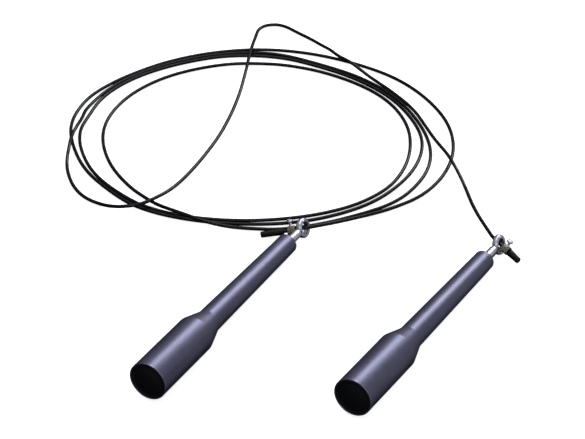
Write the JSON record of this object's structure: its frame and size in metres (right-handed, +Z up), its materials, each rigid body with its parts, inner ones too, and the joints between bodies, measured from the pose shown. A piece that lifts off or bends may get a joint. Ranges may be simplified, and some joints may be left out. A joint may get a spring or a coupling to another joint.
{
  "type": "jump rope",
  "caption": "Speed jump rope: slim ball-bearing handles with swivel eyes and a long coated cable laid in a loose coil.",
  "frame": {"origin": "on the floor under the middle of the box round the two handles and their shafts", "axes": "+Z up; +X to the right and +Y away from the handle bases, with both handles lying about 30 degrees clockwise from +Y"},
  "size_m": [0.3009, 0.4614, 0.0265],
  "materials": {
    "anodised_grip": "satin anodised",
    "black_plug": "matte",
    "bearing_steel": "ground",
    "ball_steel": "polished",
    "cage_brass": "pressed",
    "spacer_aluminium": "turned",
    "seal_black": "matte",
    "polished_steel": "polished",
    "clip_steel": "phosphated",
    "collar_brass": "nickelled, knurled",
    "screw_steel": "polished",
    "cap_vinyl": "satin",
    "cable_coat": "glossy extruded coating"
  },
  "bodies": {
    "cord_set": {"wire_cable": "cable_coat", "left_shaft_with_eye": "polished_steel", "left_rear_bearing_inner_ring": "bearing_steel", "left_front_bearing_inner_ring": "bearing_steel", "left_inner_spacer": "spacer_aluminium", "left_retaining_ring": "clip_steel", "left_cable_collar": "collar_brass", "left_end_cap": "cap_vinyl", "right_shaft_with_eye": "polished_steel", "right_rear_bearing_inner_ring": "bearing_steel", "right_front_bearing_inner_ring": "bearing_steel", "right_inner_spacer": "spacer_aluminium", "right_retaining_ring": "clip_steel", "right_cable_collar": "collar_brass", "right_end_cap": "cap_vinyl"},
    "left_grip": {"left_grip_shell": "anodised_grip", "left_base_plug": "black_plug", "left_rear_bearing_outer_ring": "bearing_steel", "left_front_bearing_outer_ring": "bearing_steel", "left_outer_spacer": "spacer_aluminium", "left_front_seal": "seal_black"},
    "left_rear_cage": {"left_rear_bearing_balls": "ball_steel", "left_rear_bearing_cage": "cage_brass"},
    "left_front_cage": {"left_front_bearing_balls": "ball_steel", "left_front_bearing_cage": "cage_brass"},
    "left_clamp_screw": {"left_clamp_screw": "screw_steel"},
    "right_grip": {"right_grip_shell": "anodised_grip", "right_base_plug": "black_plug", "right_rear_bearing_outer_ring": "bearing_steel", "right_front_bearing_outer_ring": "bearing_steel", "right_outer_spacer": "spacer_aluminium", "right_front_seal": "seal_black"},
    "right_rear_cage": {"right_rear_bearing_balls": "ball_steel", "right_rear_bearing_cage": "cage_brass"},
    "right_front_cage": {"right_front_bearing_balls": "ball_steel", "right_front_bearing_cage": "cage_brass"},
    "right_clamp_screw": {"right_clamp_screw": "screw_steel"}
  },
  "joints": [
    {"name": "left_rear_cage_spin", "type": "hinge", "parent": "cord_set", "child": "left_rear_cage", "pos_m": [-0.03397, 0.05527, 0.00822], "axis": [0.4755, 0.8788, -0.0411], "continuous": true},
    {"name": "left_front_cage_spin", "type": "hinge", "parent": "cord_set", "child": "left_front_cage", "pos_m": [-0.02684, 0.06845, 0.00761], "axis": [0.4755, 0.8788, -0.0411], "continuous": true},
    {"name": "left_grip_spin", "type": "hinge", "parent": "cord_set", "child": "left_grip", "pos_m": [-0.1053, -0.07655, 0.01439], "axis": [0.4755, 0.8788, -0.0411], "continuous": true},
    {"name": "left_clamp_turn", "type": "hinge", "parent": "cord_set", "child": "left_clamp_screw", "pos_m": [-0.02249, 0.09031, 0.00479], "axis": [-0.1831, 0.2907, 0.9391], "range_deg": [0, 540]},
    {"name": "right_rear_cage_spin", "type": "hinge", "parent": "cord_set", "child": "right_rear_cage", "pos_m": [0.08944, 0.0374, 0.00822], "axis": [0.514, 0.8568, -0.0411], "continuous": true},
    {"name": "right_front_cage_spin", "type": "hinge", "parent": "cord_set", "child": "right_front_cage", "pos_m": [0.09715, 0.05025, 0.00761], "axis": [0.514, 0.8568, -0.0411], "continuous": true},
    {"name": "right_grip_spin", "type": "hinge", "parent": "cord_set", "child": "right_grip", "pos_m": [0.01235, -0.09113, 0.01439], "axis": [0.514, 0.8568, -0.0411], "continuous": true},
    {"name": "right_clamp_turn", "type": "hinge", "parent": "cord_set", "child": "right_clamp_screw", "pos_m": [0.11415, 0.06761, 0.00574], "axis": [0.3667, 0.011, 0.9303], "range_deg": [0, 540]}
  ],
  "couplings": [
    {"joint": "left_rear_cage_spin", "follows": "left_grip_spin", "ratio": 0.6},
    {"joint": "left_front_cage_spin", "follows": "left_grip_spin", "ratio": 0.6},
    {"joint": "right_rear_cage_spin", "follows": "right_grip_spin", "ratio": 0.6},
    {"joint": "right_front_cage_spin", "follows": "right_grip_spin", "ratio": 0.6}
  ]
}
